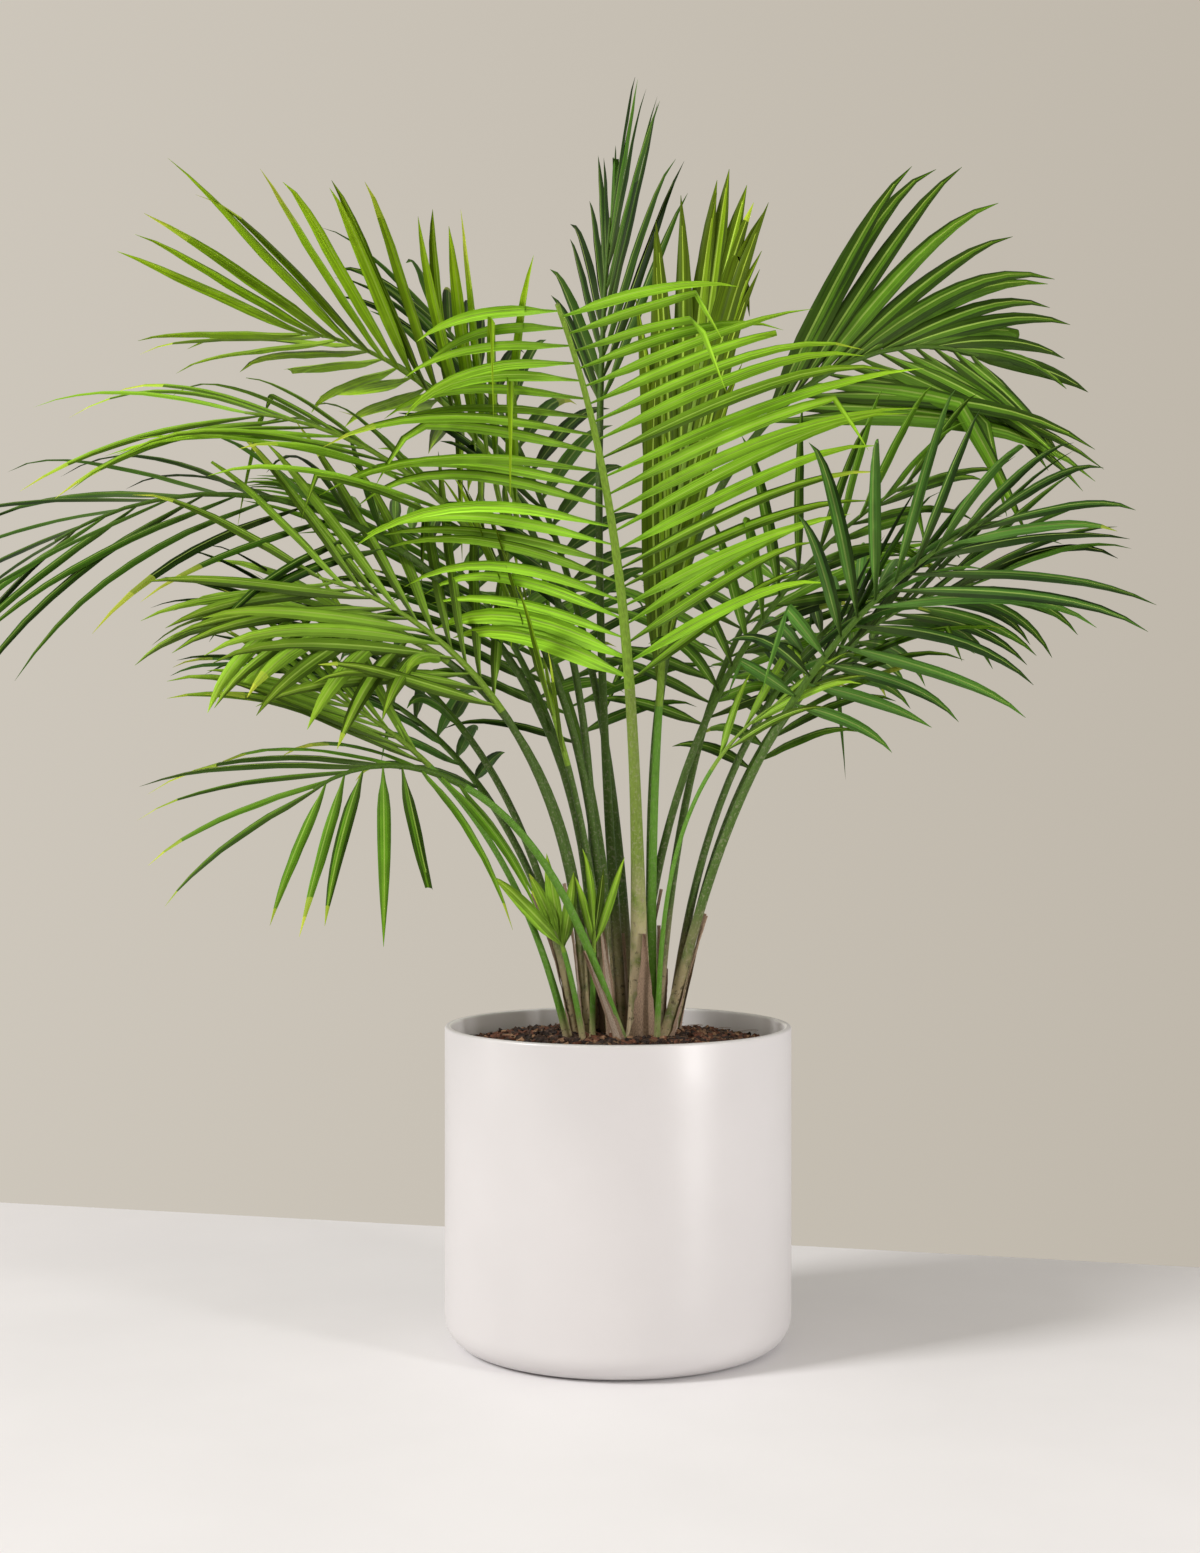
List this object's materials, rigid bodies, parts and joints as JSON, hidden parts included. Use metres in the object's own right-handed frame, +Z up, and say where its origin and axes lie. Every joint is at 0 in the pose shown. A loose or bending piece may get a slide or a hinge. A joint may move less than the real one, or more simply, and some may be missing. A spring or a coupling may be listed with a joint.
{
  "type": "potted majesty palm",
  "caption": "Potted majesty palm: arching feather fronds on bare green stalks rise from compost in a straight round planter with a rounded foot.",
  "frame": {"origin": "the middle of the pot's flat underside", "axes": "+Z up out of the pot, -Y towards the side that the palm is usually looked at from"},
  "size_m": [1.111, 0.8547, 1.1482],
  "materials": {
    "pot": "satin",
    "soil": "matt",
    "stalk": "satin",
    "leaf_bright": "satin",
    "leaf_backlit": "satin",
    "leaf_young": "satin",
    "leaf_mid": "satin",
    "leaf_deep": "satin",
    "leaf_bluish": "satin"
  },
  "bodies": {
    "root": {"pot": "pot", "soil": "soil", "stalk_front": "stalk", "stalk_young_fan": "stalk", "stalk_top_centre": "stalk", "stalk_upper_right": "stalk", "stalk_right_front": "stalk", "stalk_upper_left": "stalk", "stalk_lower_left": "stalk", "stalk_far_left": "stalk", "stalk_left_bright": "stalk", "stalk_left_low": "stalk", "stalk_left_middle": "stalk", "stalk_right_back": "stalk", "stalk_inner_left": "stalk", "stalk_inner_right": "stalk", "stalk_mid_left": "stalk", "stalk_mid_right": "stalk", "stalk_back_left": "stalk", "stalk_back": "stalk", "stalk_back_right": "stalk", "stalk_back_low": "stalk", "stalk_back_low_left": "stalk", "stalk_back_low_right": "stalk", "stalk_middle": "stalk", "stalk_right_thin": "stalk", "stalk_seedling_left": "stalk", "stalk_seedling_right": "stalk", "frond_front": "leaf_bright", "frond_young_fan": "leaf_backlit", "frond_top_centre": "leaf_deep", "frond_upper_right": "leaf_mid", "frond_right_front": "leaf_bluish", "frond_upper_left": "leaf_backlit", "frond_lower_left": "leaf_mid", "frond_far_left": "leaf_deep", "frond_left_bright": "leaf_bright", "frond_left_low": "leaf_young", "frond_left_middle": "leaf_young", "frond_right_back": "leaf_deep", "frond_inner_left": "leaf_young", "frond_inner_right": "leaf_mid", "frond_mid_left": "leaf_deep", "frond_mid_right": "leaf_bluish", "frond_back_left": "leaf_mid", "frond_back": "leaf_deep", "frond_back_right": "leaf_mid", "frond_back_low": "leaf_deep", "frond_back_low_left": "leaf_bluish", "frond_back_low_right": "leaf_mid", "frond_middle": "leaf_backlit", "frond_right_thin": "leaf_young", "frond_seedling_left": "leaf_young", "frond_seedling_right": "leaf_young"}
  },
  "joints": []
}
